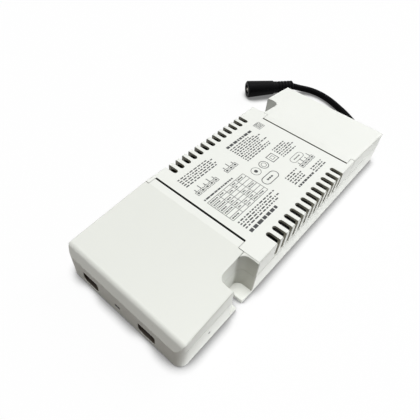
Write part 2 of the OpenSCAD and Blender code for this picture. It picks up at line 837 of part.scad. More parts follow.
// Electrolytic can standing on z = 0, with the crimp near its foot and a rounded top edge
module can(r, height) {
    crimp = 0.6;
    crimp_z = 2;
    rotate_extrude() polygon([[0, 0], [r, 0], [r, crimp_z], [r - crimp, crimp_z + crimp], [r, crimp_z + 2 * crimp],
        [r, height - crimp], [r - crimp, height], [0, height]]);
}

// Two cans lying side by side
module bulk_capacitors() {
    color("midnightblue") for (y = [bulk_low_y, bulk_low_y + bulk_diameter + bulk_gap])
        translate([bulk_x, y, board_top + bulk_diameter / 2]) rotate([0, 90, 0]) can(bulk_diameter / 2, bulk_length);
}

// Shell core with a winding window: two yokes and two outer legs
module wound_core(x, length, width) {
    leg = width * core_share;
    yoke = length * core_share;
    low = board_top + bobbin_foot;
    difference() {
        block([x, row_y, low], [x + length, row_y + width, board_top + wound_height]);
        block([x + yoke, row_y + leg, low - lap], [x + length - yoke, row_y + width - leg, board_top + wound_height + lap]);
    }
}

// Winding on its flanged bobbin, which stands on the board inside the core
module wound_bobbin(x, length, width) {
    leg = width * core_share + play;
    yoke = length * core_share + play;
    foot = bobbin_foot - play;
    block([x, row_y, board_top], [x + length, row_y + width, board_top + foot]);
    block([x + yoke, row_y + leg, board_top + foot - lap],
        [x + length - yoke, row_y + width - leg, board_top + wound_height - zone_margin]);
}

module inductor_core() {
    color("dimgray") wound_core(inductor_x, inductor_length, inductor_width);
}

module inductor_winding() {
    color("goldenrod") wound_bobbin(inductor_x, inductor_length, inductor_width);
}

module transformer_core() {
    color("dimgray") wound_core(transformer_x, transformer_length, transformer_width);
}

module transformer_winding() {
    color("goldenrod") wound_bobbin(transformer_x, transformer_length, transformer_width);
}

module heat_spreader() {
    color("silver") block([inductor_x, spreader_y, board_top],
        [inductor_x + spreader_length, spreader_y + spreader_thickness, board_top + spreader_height]);
}

// Three flat packages standing against the plate
module power_transistors() {
    first_x = inductor_x + zone_margin + package_width / 2;
    pitch = (spreader_length - package_width - 2 * zone_margin) / 2;
    color("black") for (i = [0 : 2])
        block([first_x + i * pitch - package_width / 2, spreader_y + spreader_thickness, board_top],
            [first_x + i * pitch + package_width / 2, package_face_y, board_top + package_height]);
}

// Control and output side

module controller_chips() {
    chip_y = bulk_low_y - bulk_diameter / 2 - part_gap - chip_width;
    color("black") {
        translate([bulk_x, chip_y, board_top]) cube([chip_length, chip_width, chip_height]);
        translate([disc_x - disc_diameter, 0, board_top]) cube([chip_length / 2, chip_width, chip_height]);
    }
}

module optocouplers() {
    color("black") for (y = [coupler_y, coupler_y + coupler_width + part_gap])
        translate([disc_x - disc_diameter / 2 - part_gap - coupler_length, y, board_top])
            cube([coupler_length, coupler_width, coupler_height]);
}

// Two blue safety discs standing across the isolation gap
module safety_capacitors() {
    color("royalblue") for (y = [high_row_y, high_row_y - 2 * disc_thickness])
        translate([disc_x, y, board_top + disc_diameter / 2])
            rotate([90, 0, 0]) cylinder(d = disc_diameter, h = disc_thickness);
}

// Drum core with a wound waist
module output_choke() {
    r = output_choke_diameter / 2;
    flange = 1.5;
    waist = r - flange / 2;
    color("dimgray") translate([zone_far_x - r, -r - part_gap, board_top]) rotate_extrude()
        polygon([[0, 0], [r, 0], [r, flange], [waist, flange], [waist, output_choke_height - flange],
            [r, output_choke_height - flange], [r, output_choke_height], [0, output_choke_height]]);
}

module output_capacitors() {
    r = output_cap_diameter / 2;
    color("midnightblue") for (y = [high_row_y - r, high_row_y - 3 * r - part_gap])
        translate([output_cap_x, y, board_top]) can(r, output_cap_height);
}

// Clamps

// Bar over a cable, with a half-round groove and two screw holes
module clamp_bar(y, groove) {
    translate([clamp_x, y, clamp_seat]) difference() {
        block([-clamp_width / 2, -clamp_length / 2, 0], [clamp_width / 2, clamp_length / 2, clamp_thickness]);
        translate([-clamp_width, 0, entry_mid_z - clamp_seat]) rod_x(groove, 2 * clamp_width);
        for (side = [-1, 1]) translate([0, side * clamp_pitch / 2, -lap])
            cylinder(d = screw_diameter + 2 * screw_play, h = clamp_thickness + 2 * lap);
    }
}

module clamp_screw_pair(y) {
    for (side = [-1, 1]) translate([clamp_x, y + side * clamp_pitch / 2, clamp_seat + clamp_thickness]) {
        cylinder(d = screw_head, h = screw_head_height);
        translate([0, 0, -clamp_thickness - screw_length])
            cylinder(d = screw_diameter, h = clamp_thickness + screw_length + screw_head_height / 2);
    }
}

module input_cable_clamps() {
    color("dimgray") {
        clamp_bar(entry_high_y, clamp_groove);
        clamp_bar(entry_low_y, clamp_groove);
    }
}

module output_cable_clamp() {
    color("dimgray") rotate(180) clamp_bar(-lead_y, lead_radius + bore_play);
}

module clamp_screws() {
    color("silver") {
        clamp_screw_pair(entry_high_y);
        clamp_screw_pair(entry_low_y);
        rotate(180) clamp_screw_pair(-lead_y);
    }
}

// Output lead

// Rubber plug in the output entry, with a flange on each face of the wall
module lead_grommet() {
    flange_in = 1.2;
    color("black") rotate(180) translate([end_x, -lead_y, 0]) difference() {
        union() {
            translate([-grommet_flange, 0, 0]) along_x(grommet_flange) entry_outline(grommet_lip, grommet_lip);
            along_x(wall) entry_outline(-play, -play);
            translate([wall, 0, 0]) along_x(flange_in) entry_outline(grommet_lip, 0);
        }
        translate([-grommet_flange - lap, 0, lead_z])
            rod_x(lead_radius + bore_play, wall + grommet_flange + flange_in + 2 * lap);
    }
}

// Stretch of the lead inside the case
module lead_tail() {
    color("black") translate([tail_end_x, lead_y, lead_z]) rod_x(lead_radius, lead_start_x - tail_end_x);
}

// Two wires that rise from the end of the tail into ferrules in the terminal's ports
module output_wires() {
    ferrule_x = output_crease + terminal_gap + terminal_depth - ferrule_length / 2;
    joint_x = ferrule_x + ferrule_length * port_share;
    rise = board_top + port_height - lead_z;
    run = tail_end_x - joint_x;
    color("crimson") for (side = [-1, 1]) translate([0, lead_y + side * output_pitch / 2, board_top + port_height]) {
        translate([ferrule_x, 0, 0]) rod_x(ferrule_radius, ferrule_length);
        translate([joint_x, 0, 0]) difference() {
            rotate([0, atan(rise / run), 0]) rod_x(wire_radius, norm([rise, run]) + lap);
            translate([run, -lap, -rise - lap]) cube(2 * lap);
        }
    }
}

// Ring of points round a centre, square to a direction
function ring(centre, direction) = let (
    along = direction / norm(direction),
    side = cross([0, 0, 1], along) / norm(cross([0, 0, 1], along)),
    up = cross(along, side))
    [for (i = [0 : lead_sides - 1]) let (a = 360 * i / lead_sides)
        centre + lead_radius * (cos(a) * side + sin(a) * up)];

// Closed tube through the route's points, its ends square to the two given directions
module tube(route, first_way, last_way) {
    last = len(route) - 1;
    points = [for (i = [0 : last]) each ring(route[i],
        i == 0 ? first_way : i == last ? last_way : route[i + 1] - route[i - 1])];
    sides = [for (i = [0 : last - 1], j = [0 : lead_sides - 1]) let (k = (j + 1) % lead_sides, n = i * lead_sides)
        [n + j, n + lead_sides + j, n + lead_sides + k, n + k]];
    near_cap = [for (j = [0 : lead_sides - 1]) j];
    far_cap = [for (j = [lead_sides - 1 : -1 : 0]) last * lead_sides + j];
    polyhedron(points, concat(sides, [near_cap, far_cap]));
}

module output_lead() {
    color("black") tube(lead_route, [1, 0, 0], socket_way);
}

// Places a piece on the socket's axis, +Z running from the lead to the open end
module on_socket_axis() {
    translate(socket_root) rotate([0, 90 + socket_tilt, socket_turn]) children();
}

// Moulded body with a ribbed strain relief and the socket's blind hole
module dc_socket() {
    mouth = socket_diameter / 2;
    shoulder = relief_diameter / 2;
    root = relief_end_diameter / 2;
    step = (socket_waist - relief_diameter) / 2;
    rib_pitch = (relief_length - 2 * rib_margin) / ribs;
    color("black") on_socket_axis() difference() {
        rotate_extrude() polygon([[0, 0], [root - relief_chamfer, 0], [root, relief_chamfer], [shoulder, relief_length],
            [shoulder + step, relief_length + step], [mouth, socket_end - mouth_chamfer], [mouth - mouth_chamfer, socket_end], [0, socket_end]]);
        for (i = [0 : ribs - 1]) let (z = rib_margin + i * rib_pitch) translate([0, 0, z]) difference() {
            cylinder(r = mouth, h = rib_pitch / 2);
            translate([0, 0, -lap])
                cylinder(r = root + (shoulder - root) * z / relief_length - rib_depth, h = rib_pitch + lap);
        }
        translate([0, 0, socket_end - socket_depth]) cylinder(d = socket_bore, h = socket_depth + lap);
    }
}

// Thin spring sleeve lining the socket's hole
module dc_contact_sleeve() {
    sleeve_wall = 0.3;
    color("silver") on_socket_axis() translate([0, 0, socket_end - socket_depth]) difference() {
        cylinder(d = socket_bore - 2 * bore_play, h = socket_depth - mouth_chamfer);
        translate([0, 0, -lap]) cylinder(d = socket_bore - 2 * sleeve_wall, h = socket_depth + lap);
    }
}

module dc_centre_pin() {
    r = pin_diameter / 2;
    pin_length = socket_depth - 2 * mouth_chamfer;
    color("silver") on_socket_axis() translate([0, 0, socket_end - socket_depth]) rotate_extrude()
        polygon([[0, 0], [r, 0], [r, pin_length - r / 2], [r / 2, pin_length], [0, pin_length]]);
}

base_tray();
top_housing();
input_cover();
output_cover();
insulation_sheet();
circuit_board();
mains_terminal_block();
control_terminal_block();
output_terminal_block();
current_setting_terminal();
fuse();
varistor();
filter_capacitor();
common_mode_choke_core();
common_mode_choke_winding();
bridge_rectifier();
bulk_capacitors();
inductor_core();
inductor_winding();
transformer_core();
transformer_winding();
heat_spreader();
power_transistors();
controller_chips();
optocouplers();
safety_capacitors();
output_choke();
output_capacitors();
input_cable_clamps();
output_cable_clamp();
clamp_screws();
lead_grommet();
lead_tail();
output_wires();
output_lead();
dc_socket();
dc_contact_sleeve();
dc_centre_pin();
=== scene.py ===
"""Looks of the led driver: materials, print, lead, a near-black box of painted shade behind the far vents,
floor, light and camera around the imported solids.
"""

import json
import math
import random

import bmesh
import bpy
from mathutils import Matrix, Vector


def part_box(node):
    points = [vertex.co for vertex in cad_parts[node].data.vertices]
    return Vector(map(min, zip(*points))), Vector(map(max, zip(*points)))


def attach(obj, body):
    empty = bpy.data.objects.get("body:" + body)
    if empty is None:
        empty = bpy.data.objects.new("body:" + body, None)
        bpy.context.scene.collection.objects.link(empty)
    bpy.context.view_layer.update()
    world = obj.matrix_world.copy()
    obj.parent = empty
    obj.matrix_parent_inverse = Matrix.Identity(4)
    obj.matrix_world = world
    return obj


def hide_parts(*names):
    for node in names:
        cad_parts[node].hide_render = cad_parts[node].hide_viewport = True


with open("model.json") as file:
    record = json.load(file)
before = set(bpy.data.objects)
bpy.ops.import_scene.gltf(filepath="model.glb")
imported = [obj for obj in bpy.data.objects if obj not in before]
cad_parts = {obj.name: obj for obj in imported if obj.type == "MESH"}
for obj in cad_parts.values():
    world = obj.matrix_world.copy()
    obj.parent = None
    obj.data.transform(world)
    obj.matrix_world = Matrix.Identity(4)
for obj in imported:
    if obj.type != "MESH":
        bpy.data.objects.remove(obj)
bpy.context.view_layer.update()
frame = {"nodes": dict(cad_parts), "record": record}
nodes = frame["nodes"]

MM = 0.001


def add(name, data):
    """A new object in the scene."""
    thing = bpy.data.objects.new(name, data)
    bpy.context.scene.collection.objects.link(thing)
    return thing


# Camera, from a fit to the photograph: its place in mm, and the directions right, down and forward
PHOTO_PIXELS = 420
FOCAL_PIXELS = 383.79
SENSOR_MM = 36.0
CAMERA_PLACE = (-121.837, -66.246, 153.714)
CAMERA_RIGHT = (0.648895, -0.757848, 0.067834)
CAMERA_DOWN = (-0.549460, -0.528397, -0.647218)
CAMERA_FORWARD = (0.526336, 0.382704, -0.759281)
HALF_PIXEL = 0.5 / PHOTO_PIXELS
NEAREST_SEEN = 0.005


def make_camera():
    data = bpy.data.cameras.new("camera")
    data.sensor_width = SENSOR_MM
    data.lens = FOCAL_PIXELS * SENSOR_MM / PHOTO_PIXELS
    data.shift_x = -HALF_PIXEL
    data.shift_y = HALF_PIXEL
    data.clip_start = NEAREST_SEEN
    camera = add("camera", data)
    turn = Matrix((CAMERA_RIGHT, -Vector(CAMERA_DOWN), -Vector(CAMERA_FORWARD))).transposed()
    camera.matrix_world = Matrix.Translation(Vector(CAMERA_PLACE) * MM) @ turn.to_4x4()
    bpy.context.scene.camera = camera


# Output lead: the same route as the source's, in mm
LEAD_ROUTE = (
    (87, -19, 5.7), (91, -18.9, 5.65), (95.2, -18, 5.3), (99.5, -16, 4.6), (103.7, -12.9, 3.7),
    (107.7, -9, 2.9), (111.3, -4.4, 2.4), (114.6, 0.9, 2.2), (117.5, 7.1, 2.15), (120.1, 13.3, 2.15),
    (121.8, 19.2, 2.15), (122.5, 25, 2.2), (121.95, 30, 2.35), (120.05, 34.2, 2.85), (116.9, 37.3, 3.75),
    (113.5, 39.7, 5.05), (110.3, 42.2, 6.3),
)
LEAD_DIAMETER = 4.2 * MM
LEAD_ROUNDNESS = 7
LEAD_STEPS = 10


def make_lead(material):
    data = bpy.data.curves.new("lead", "CURVE")
    data.dimensions = "3D"
    data.bevel_depth = LEAD_DIAMETER / 2
    data.bevel_resolution = LEAD_ROUNDNESS
    data.resolution_u = LEAD_STEPS
    data.use_fill_caps = True
    spline = data.splines.new("BEZIER")
    spline.bezier_points.add(len(LEAD_ROUTE) - 1)
    for knot, place in zip(spline.bezier_points, LEAD_ROUTE):
        knot.co = Vector(place) * MM
        knot.handle_left_type = knot.handle_right_type = "AUTO"
    data.materials.append(material)
    lead = add("lead", data)
    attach(lead, "root")
    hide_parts("output_lead")


# Materials
NOISE_LOW, NOISE_HIGH = 0.3, 0.7
FINE_DETAIL = 3.0
BEVEL_SAMPLES = 6
SOFT_EDGE = 0.1


class Shader:
    """One node material, built up from its Principled shader outwards."""

    def __init__(self, name):
        self.material = bpy.data.materials.new(name)
        self.material.use_nodes = True
        self.tree = self.material.node_tree
        self.surface = self.tree.nodes["Principled BSDF"]
        place = self.tree.nodes.new("ShaderNodeTexCoord")
        self.place = place.outputs["Object"]

    def new(self, kind, **inputs):
        node = self.tree.nodes.new(kind)
        for name, value in inputs.items():
            self.set(node.inputs[name.replace("_", " ")], value)
        return node

    def set(self, socket, value):
        if isinstance(value, bpy.types.NodeSocket):
            self.tree.links.new(value, socket)
        else:
            socket.default_value = value

    def noise(self, size_mm, place=None, rough=0.5):
        node = self.new("ShaderNodeTexNoise", Vector=place or self.place, Scale=1 / (size_mm * MM))
        node.inputs["Detail"].default_value = FINE_DETAIL
        node.inputs["Roughness"].default_value = rough
        return node.outputs["Fac"]

    def axes(self):
        place = self.new("ShaderNodeSeparateXYZ", Vector=self.place)
        return place.outputs["X"], place.outputs["Y"], place.outputs["Z"]

    def ramp(self, value, stops):
        node = self.new("ShaderNodeValToRGB", Fac=value)
        first, last = node.color_ramp.elements
        first.position, first.color = stops[0][0], (*stops[0][1], 1)
        last.position, last.color = stops[-1][0], (*stops[-1][1], 1)
        for place, colour in stops[1:-1]:
            stop = node.color_ramp.elements.new(place)
            stop.color = (*colour, 1)
        return node.outputs["Color"]

    def drift(self, value, colour, tone):
        """A colour that noise makes darker by up to a share of it."""
        return self.ramp(value, ((NOISE_LOW, shade(colour, 1 - tone)), (NOISE_HIGH, colour)))

    def range(self, value, low, high, from_low=NOISE_LOW, from_high=NOISE_HIGH):
        node = self.new("ShaderNodeMapRange", Value=value, From_Min=from_low, From_Max=from_high)
        node.inputs["To Min"].default_value = low
        node.inputs["To Max"].default_value = high
        return node.outputs["Result"]

    def math(self, operation, *values):
        """One operation on two values, or along a row of them."""
        result = values[0]
        for value in values[1:]:
            node = self.new("ShaderNodeMath")
            node.operation = operation
            self.set(node.inputs[0], result)
            self.set(node.inputs[1], value)
            result = node.outputs[0]
        return result

    def step(self, value, low_mm, high_mm):
        """0 at low_mm, 1 at high_mm and smooth between them."""
        node = self.new("ShaderNodeMapRange", Value=value, From_Min=low_mm * MM, From_Max=high_mm * MM)
        node.interpolation_type = "SMOOTHSTEP"
        return node.outputs["Result"]

    def within(self, value, low_mm, high_mm):
        """1 between two places and 0 outside them."""
        rise = self.step(value, low_mm - SOFT_EDGE, low_mm)
        return self.math("MULTIPLY", rise, self.step(value, high_mm + SOFT_EDGE, high_mm))

    def blend(self, factor, first, second):
        """From the first colour to the second by a mask."""
        mix = self.new("ShaderNodeMix")
        mix.data_type = "RGBA"
        self.set(mix.inputs["Factor"], factor)
        self.set(mix.inputs["A"], first)
        mix.inputs["B"].default_value = (*second, 1)
        return mix.outputs["Result"]

    def bump(self, height, depth_mm, under=None):
        node = self.new("ShaderNodeBump", Height=height, Distance=depth_mm * MM, Strength=1.0)
        if under is not None:
            self.tree.links.new(under, node.inputs["Normal"])
        self.set(self.surface.inputs["Normal"], node.outputs["Normal"])

    def edge(self, radius_mm):
        node = self.new("ShaderNodeBevel", Radius=radius_mm * MM)
        node.samples = BEVEL_SAMPLES
        return node.outputs["Normal"]


def shade(colour, factor):
    return tuple(channel * factor for channel in colour)


# The case in mm: half its box, its roof, and where and how steeply the covers slope down
HALF_LENGTH, HALF_WIDTH, ROOF = 85.5, 33.35, 24.0
NEAR_CREASE, NEAR_SLOPE = -39.1, 0.1078
FAR_CREASE, FAR_SLOPE = 45.9, 0.0985
# Open pockets along X, how far out they start, and where painted shade darkens their inner walls
NEAR_POCKET, FAR_POCKET, POCKET_DEPTH = (-56.4, -38.8), (45.6, 63.2), (23.5, 23.6)
NEAR_SHADE, FAR_SHADE = (-44.5, -41.5), (51.3, 48.3)
SHADE_DEPTH, SHADE_HEIGHT = (24.8, 25.2), (2.1, 23.2)
# Grooves at the creases along X, their ends and their height; painted shade makes the far one dark and the near
# one near black
NEAR_GROOVE, FAR_GROOVE = (-35.1, -34.1), (40.8, 41.65)
GROOVE_ENDS, GROOVE_HEIGHT = (-22.1, 30.7), (21.5, 24.0)
# A pip in the tray's side, painted as a near-black dot, and the latch window in the near end, painted near
# black as shade
PIP_LENGTH, PIP_DEPTH, PIP_HEIGHT = (-69.6, -68.6), (-33.6, -31.9), (7.3, 8.3)
LATCH_EDGE, LATCH_WIDTH, LATCH_HEIGHT = (-83.9, -84.2), (0.5, 3.5), (5.4, 7.0)
# Where the case counts as closed: away from the round ends, or on the flat part of an end
PAST_ROUND_END, PAST_ROUND_SIDE, BELOW_COVER = (5.5, 6.5), (5.35, 6.35), (12.5, 11.5)
# Depths below the outside at which painted shade starts: darker on the walls of the slots, near black inside
SLOT_DEPTH, INSIDE_DEPTH = (0.1, 0.3), (1.3, 1.55)
# Past this place along X the walls are those of the cable entries, with darker painted shade
ENTRY_EDGE = (-83.0, -83.3)
# The near slope's skin, and where the slope starts along X; painted shade makes this slope a little darker than
# the roof
SLOPE_SKIN, SLOPE_START = (0.6, 0.3), (NEAR_CREASE + 0.3, NEAR_CREASE - 0.3)
# Specks: their spacing, and the share of it that they take
SPECK_PITCH, SPECK_EDGE = 7.0, (0.012, 0.022)

SPECK = (0.5, 0.49, 0.46)
# Colours of painted shade: the near slope, the pocket walls, the far groove, the slot and entry walls, and near
# black inside
NEAR_SLOPE_SHADE = (0.81, 0.825, 0.772)
POCKET_SHADE = (0.41, 0.41, 0.365)
GROOVE_SHADE = (0.08, 0.075, 0.05)
SLOT_SHADE = (0.34, 0.33, 0.27)
ENTRY_SHADE = (0.075, 0.06, 0.045)
INSIDE_SHADE = (0.004, 0.004, 0.004)


def roof_depth(look, x, z):
    """How far below the roof or the slopes of the covers."""
    near_fall = look.math("MULTIPLY", look.math("SUBTRACT", NEAR_CREASE * MM, x), NEAR_SLOPE)
    far_fall = look.math("MULTIPLY", look.math("SUBTRACT", x, FAR_CREASE * MM), FAR_SLOPE)
    return look.math("SUBTRACT", ROOF * MM, z, look.math("MAXIMUM", near_fall, far_fall, 0.0))


def groove(look, x, y, z, reach, side):
    """Inside one of the grooves, which are each other's mirror image across the case."""
    across = look.within(look.math("MULTIPLY", y, side), *GROOVE_ENDS)
    return look.math("MULTIPLY", look.within(x, *reach), look.within(z, *GROOVE_HEIGHT), across)


def case_tint(look, tint):
    """The case's colour: white with a few specks, painted shade on its near slope and on the walls of its
    pockets, far groove, slots and entries, and near black painted shade inside it, in the near groove and the
    latch window, with a near-black dot at a pip.
    """
    spot = look.new("ShaderNodeTexVoronoi", Vector=look.place, Scale=1 / (SPECK_PITCH * MM))
    tint = look.blend(look.range(spot.outputs["Distance"], 1.0, 0.0, *SPECK_EDGE), tint, SPECK)
    x, y, z = look.axes()
    from_end = look.math("SUBTRACT", HALF_LENGTH * MM, look.math("ABSOLUTE", x, 0.0))
    from_side = look.math("SUBTRACT", HALF_WIDTH * MM, look.math("ABSOLUTE", y, 0.0))
    from_roof = roof_depth(look, x, z)
    depth = look.math("MINIMUM", from_end, from_side, from_roof, z)
    # painted shade: the near slope a little darker than the roof and the far slope
    slope = look.math("MULTIPLY", look.step(from_roof, *SLOPE_SKIN), look.step(x, *SLOPE_START))
    tint = look.blend(slope, tint, NEAR_SLOPE_SHADE)
    # the round corners at the ends and the open pockets stay free of the painted shade of the slots and the
    # inside
    flat_end = look.math("MULTIPLY", look.step(from_side, *PAST_ROUND_SIDE), look.step(z, *BELOW_COVER))
    closed = look.math("MAXIMUM", flat_end, look.step(from_end, *PAST_ROUND_END))
    for pocket, shaded, side in ((NEAR_POCKET, NEAR_SHADE, -1), (FAR_POCKET, FAR_SHADE, 1)):
        along = look.within(x, *pocket)
        outward = look.math("MULTIPLY", y, side)
        opened = look.math("MULTIPLY", along, look.step(outward, *POCKET_DEPTH))
        closed = look.math("MULTIPLY", closed, look.math("SUBTRACT", 1.0, opened))
        # painted shade on the inner walls of the pockets
        pocket_shade_mask = look.math("MULTIPLY", along, look.step(x, *shaded), look.step(outward, *SHADE_DEPTH))
        tint = look.blend(look.math("MULTIPLY", pocket_shade_mask, look.within(z, *SHADE_HEIGHT)), tint, POCKET_SHADE)
    # painted shade in the far groove
    far_groove_shade = groove(look, x, y, z, FAR_GROOVE, -1)
    tint = look.blend(far_groove_shade, tint, GROOVE_SHADE)
    no_groove = look.math("SUBTRACT", 1.0, far_groove_shade)
    # painted shade on the walls of the slots, darker in the cable entries
    slot_shade_mask = look.math("MULTIPLY", look.step(depth, *SLOT_DEPTH), closed, no_groove)
    tint = look.blend(slot_shade_mask, tint, SLOT_SHADE)
    tint = look.blend(look.math("MULTIPLY", slot_shade_mask, look.step(x, *ENTRY_EDGE)), tint, ENTRY_SHADE)
    # a near-black dot at the pip
    pip = look.math("MULTIPLY", look.within(x, *PIP_LENGTH), look.within(y, *PIP_DEPTH))
    pip = look.math("MULTIPLY", pip, look.within(z, *PIP_HEIGHT))
    # painted shade in the latch window
    latch_shade = look.math("MULTIPLY", look.within(y, *LATCH_WIDTH), look.within(z, *LATCH_HEIGHT))
    latch_shade = look.math("MULTIPLY", latch_shade, look.step(x, *LATCH_EDGE))
    # painted shade: near black inside the case, in the near groove and in the latch window, with the dot at the
    # pip
    inside = look.math("MULTIPLY", look.step(depth, *INSIDE_DEPTH), closed)
    dark = look.math("MAXIMUM", inside, groove(look, x, y, z, NEAR_GROOVE, 1), pip, latch_shade)
    return look.blend(dark, tint, INSIDE_SHADE)


DRIFT_SIZE = 18.0
GRAIN_ROUGH, GRAIN_SPREAD = 0.6, 0.05


def moulded(
    name, colour, roughness, grain_mm, grain_depth_mm, tone=0.03, edge_mm=None, specular=0.4, case=False
):
    """Moulded plastic: slight drift of tone, satin grain, and softened edges where a radius is given; for the
    case also its specks and painted shade.
    """
    look = Shader(name)
    tint = look.drift(look.noise(DRIFT_SIZE), colour, tone)
    if case:
        tint = case_tint(look, tint)
    look.set(look.surface.inputs["Base Color"], tint)
    grain = look.noise(grain_mm, rough=GRAIN_ROUGH)
    satin = look.range(grain, roughness - GRAIN_SPREAD, roughness + GRAIN_SPREAD)
    look.set(look.surface.inputs["Roughness"], satin)
    look.surface.inputs["Specular IOR Level"].default_value = specular
    look.bump(grain, grain_depth_mm, look.edge(edge_mm) if edge_mm else None)
    return look.material


STREAK_STRETCH, STREAK_TONE, STREAK_DEPTH = (0.12, 1.0, 1.0), 0.12, 0.01
STREAK_SMOOTH, STREAK_DULL = 0.06, 0.08


def metal(name, colour, roughness, streak_mm):
    """Plain metal with fine drawn streaks along X."""
    look = Shader(name)
    stretch = look.new("ShaderNodeMapping", Vector=look.place)
    stretch.inputs["Scale"].default_value = STREAK_STRETCH
    streak = look.noise(streak_mm, stretch.outputs["Vector"])
    look.set(look.surface.inputs["Base Color"], look.drift(streak, colour, STREAK_TONE))
    look.surface.inputs["Metallic"].default_value = 1.0
    drawn = look.range(streak, roughness - STREAK_SMOOTH, roughness + STREAK_DULL)
    look.set(look.surface.inputs["Roughness"], drawn)
    look.bump(streak, STREAK_DEPTH)
    return look.material


TURN_WOBBLE, TURN_EDGE, TURN_DULL = 0.6, 0.45, 0.15


def banded(name, colour, dark, pitch_mm, depth_mm, axis, roughness, metallic=0.0):
    """A winding or tape: fine turns side by side along one axis."""
    look = Shader(name)
    wave = look.new("ShaderNodeTexWave", Vector=look.place, Distortion=TURN_WOBBLE)
    wave.inputs["Scale"].default_value = 1 / (pitch_mm * MM * math.pi)
    wave.bands_direction = axis
    turns = wave.outputs["Fac"]
    tint = look.ramp(turns, ((0.0, dark), (TURN_EDGE, colour), (1.0, colour)))
    look.set(look.surface.inputs["Base Color"], tint)
    look.surface.inputs["Metallic"].default_value = metallic
    look.set(look.surface.inputs["Roughness"], look.range(turns, roughness + TURN_DULL, roughness, 0.0, 1.0))
    look.bump(turns, depth_mm)
    return look.material


TRACK_PITCH, TRACK_WIDTH, TRACK_DEPTH = 9.0, 0.03, 0.02
MASK_CHANGE = 1.15
PAD_PITCH, PAD_EDGE = 4.5, (0.1, 0.14)
MASK_ROUGHNESS, PAD_ROUGHNESS = 0.38, 0.25


def circuit_board(name, mask, track, bare):
    """Green solder mask with faint tracks under it and small bare pads."""
    look = Shader(name)
    brick = look.new("ShaderNodeTexBrick", Vector=look.place, Scale=1 / (TRACK_PITCH * MM))
    brick.inputs["Color1"].default_value = (*mask, 1)
    brick.inputs["Color2"].default_value = (*shade(mask, MASK_CHANGE), 1)
    brick.inputs["Mortar"].default_value = (*track, 1)
    brick.inputs["Mortar Size"].default_value = TRACK_WIDTH
    dots = look.new("ShaderNodeTexVoronoi", Vector=look.place, Scale=1 / (PAD_PITCH * MM))
    pad = look.range(dots.outputs["Distance"], 1.0, 0.0, *PAD_EDGE)
    look.set(look.surface.inputs["Base Color"], look.blend(pad, brick.outputs["Color"], bare))
    look.set(look.surface.inputs["Roughness"], look.range(pad, MASK_ROUGHNESS, PAD_ROUGHNESS, 0.0, 1.0))
    look.bump(brick.outputs["Fac"], TRACK_DEPTH)
    return look.material


WHITE = (0.87, 0.885, 0.838)
COVER_WHITE = (0.865, 0.88, 0.833)
FILM_WHITE = (0.74, 0.75, 0.72)
MASK_GREEN, TRACK_GREEN, PAD_GOLD = (0.025, 0.14, 0.055), (0.05, 0.22, 0.09), (0.75, 0.62, 0.35)
TERMINAL_GREY = (0.62, 0.63, 0.62)
MOULDED_BLACK = (0.022, 0.022, 0.024)
EPOXY_BLUE = (0.04, 0.15, 0.42)
BOX_YELLOW = (0.72, 0.5, 0.05)
FERRITE_GREY = (0.06, 0.06, 0.064)
COPPER, COPPER_GAP = (0.72, 0.3, 0.12), (0.2, 0.06, 0.02)
SLEEVE_BLUE = (0.02, 0.025, 0.06)
TAPE, TAPE_GAP = (0.72, 0.5, 0.1), (0.55, 0.36, 0.06)
ANODISED, ZINC, NICKEL = (0.03, 0.03, 0.032), (0.66, 0.66, 0.64), (0.74, 0.72, 0.68)
BLACK_VINYL = (0.0018, 0.0018, 0.0021)
WIRE_RED = (0.45, 0.02, 0.02)
INK = (0.07, 0.073, 0.075)
VENT_SHADE_DARK = (0.012, 0.012, 0.011)

# Each slot's look. A plastic has its roughness, grain and the grain's depth, a winding its pitch, depth, axis
# and roughness, and a metal its roughness and streaks. Sizes are in mm
looks = {
    "case_plastic": moulded("white_case", WHITE, 0.46, 0.35, 0.006, tone=0.012, edge_mm=0.3, case=True),
    "cover_plastic": moulded(
        "white_cover", COVER_WHITE, 0.46, 0.35, 0.006, tone=0.012, edge_mm=0.3, case=True
    ),
    "insulating_film": moulded("film", FILM_WHITE, 0.2, 2.0, 0.01, tone=0.06, specular=0.6),
    "board": circuit_board("board", MASK_GREEN, TRACK_GREEN, PAD_GOLD),
    "terminal_plastic": moulded("grey_terminal", TERMINAL_GREY, 0.45, 0.4, 0.008, edge_mm=0.2),
    "dark_plastic": moulded("black_moulding", MOULDED_BLACK, 0.55, 0.3, 0.01, tone=0.2, edge_mm=0.2),
    "blue_coating": moulded("blue_epoxy", EPOXY_BLUE, 0.25, 1.5, 0.03, tone=0.15, specular=0.5),
    "yellow_plastic": moulded("yellow_box", BOX_YELLOW, 0.35, 0.5, 0.008, tone=0.06, edge_mm=0.3),
    "ferrite": moulded("ferrite", FERRITE_GREY, 0.6, 0.25, 0.02, tone=0.3, edge_mm=0.3),
    "copper_wire": banded("copper_turns", COPPER, COPPER_GAP, 0.8, 0.2, "X", 0.25, metallic=1.0),
    "capacitor_sleeve": moulded("sleeve", SLEEVE_BLUE, 0.28, 3.0, 0.02, tone=0.2, specular=0.5),
    "winding_tape": banded("tape_turns", TAPE, TAPE_GAP, 2.5, 0.03, "Z", 0.35),
    "aluminium_plate": metal("black_anodised_sheet", ANODISED, 0.5, 0.6),
    "screw_steel": metal("zinc", ZINC, 0.3, 0.3),
    "lead_rubber": moulded("lead_sheath", BLACK_VINYL, 0.55, 0.25, 0.008, tone=0.25, specular=0.035),
    "wire_sleeve": moulded("wire_sleeve", WIRE_RED, 0.3, 1.0, 0.01, tone=0.1, specular=0.5),
    "socket_plastic": moulded(
        "socket_vinyl", BLACK_VINYL, 0.45, 0.2, 0.01, tone=0.25, edge_mm=0.2, specular=0.06
    ),
    "contact_metal": metal("nickel", NICKEL, 0.22, 0.3),
}


